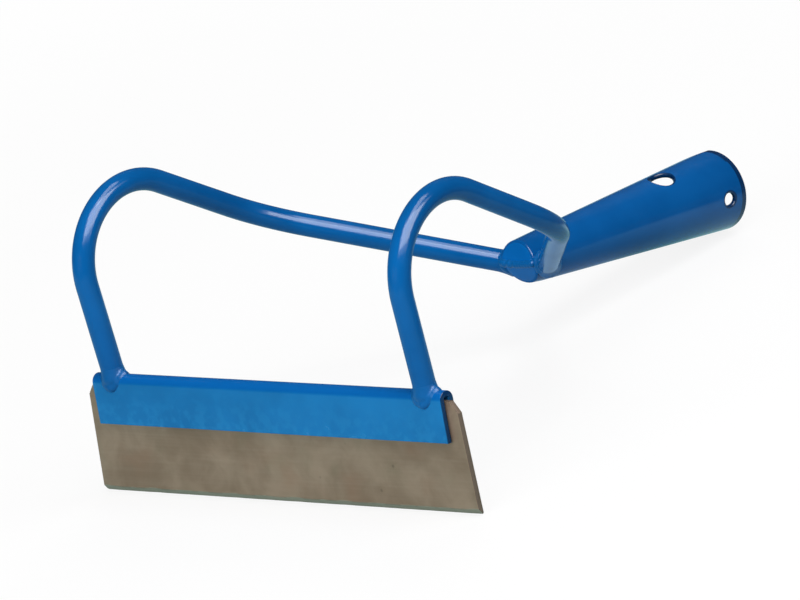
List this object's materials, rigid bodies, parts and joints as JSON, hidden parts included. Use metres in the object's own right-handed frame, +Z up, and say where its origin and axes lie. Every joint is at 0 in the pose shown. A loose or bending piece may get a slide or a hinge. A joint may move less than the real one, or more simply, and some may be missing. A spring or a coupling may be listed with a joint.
{
  "type": "weeding hoe head",
  "caption": "Weeding hoe head: straight bevelled blade in a folded holder, carried by bent round bars welded to a tapered rolled handle socket.",
  "frame": {"origin": "centre of the bounding box's bottom: the ground below the middle of the head", "axes": "+X along the blade to the right seen from its front, +Y from the blade to the socket's mouth, +Z up from the ground that the cutting edge and the mouth's lower rim rest on"},
  "size_m": [0.18, 0.239, 0.1052],
  "materials": {
    "blade_steel": "rolled, cloudy warm grey-brown, with a ground bevel along the edge",
    "holder_paint": "glossy blue enamel",
    "arm_paint": "glossy blue enamel",
    "socket_paint": "glossy blue enamel",
    "weld_paint": "glossy blue enamel over a rough weld bead"
  },
  "bodies": {
    "root": {"blade": "blade_steel", "blade_holder": "holder_paint", "left_arm": "arm_paint", "right_arm": "arm_paint", "socket": "socket_paint", "nose_plug": "socket_paint", "foot_weld_left": "weld_paint", "foot_weld_right": "weld_paint", "neck_weld_left": "weld_paint", "neck_weld_right": "weld_paint", "nose_weld": "weld_paint"}
  },
  "joints": []
}
